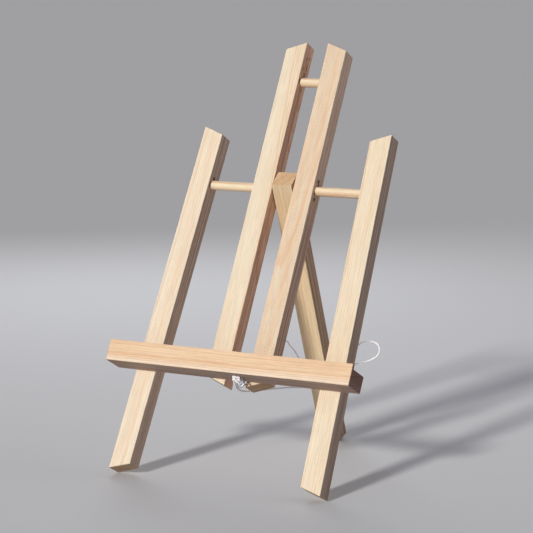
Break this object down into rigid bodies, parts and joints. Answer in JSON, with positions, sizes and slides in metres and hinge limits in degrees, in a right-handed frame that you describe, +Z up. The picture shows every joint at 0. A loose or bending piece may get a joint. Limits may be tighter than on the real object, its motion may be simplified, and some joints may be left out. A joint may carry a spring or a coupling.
{
  "type": "tabletop display easel",
  "caption": "Leaning A-frame tabletop easel of slim pine bars with a lipped ledge, a hinged rear leg and a limit cord",
  "frame": {"origin": "on the floor, under the middle of the standing easel", "axes": "+X to the easel's right, seen from the front; +Y to the back; +Z up"},
  "size_m": [0.23, 0.2226, 0.357],
  "materials": {
    "pine": "bare planed pine with fine straight grain, matt",
    "ledge_pine": "bare planed pine, slightly pinker, with fine grain along its length, matt",
    "dowel_wood": "smooth turned pale dowel, matt",
    "screw_steel": "zinc-plated steel",
    "eye_steel": "zinc-plated steel wire",
    "cord": "white braided polyester cord"
  },
  "bodies": {
    "frame": {"left_front_leg": "pine", "right_front_leg": "pine", "left_mast": "pine", "right_mast": "pine", "ledge": "ledge_pine", "top_dowel": "dowel_wood", "cross_dowel": "dowel_wood", "ledge_screws": "screw_steel", "screw_eye": "eye_steel", "cord_knot": "cord", "limit_cord": "cord"},
    "rear_leg": {"rear_leg": "pine"}
  },
  "joints": [
    {"name": "rear_leg_hinge", "type": "hinge", "parent": "frame", "child": "rear_leg", "pos_m": [0, 0.01568, 0.23431], "axis": [1, 0, 0], "range_deg": [-48.4, 25], "deforming": ["limit_cord"]}
  ]
}
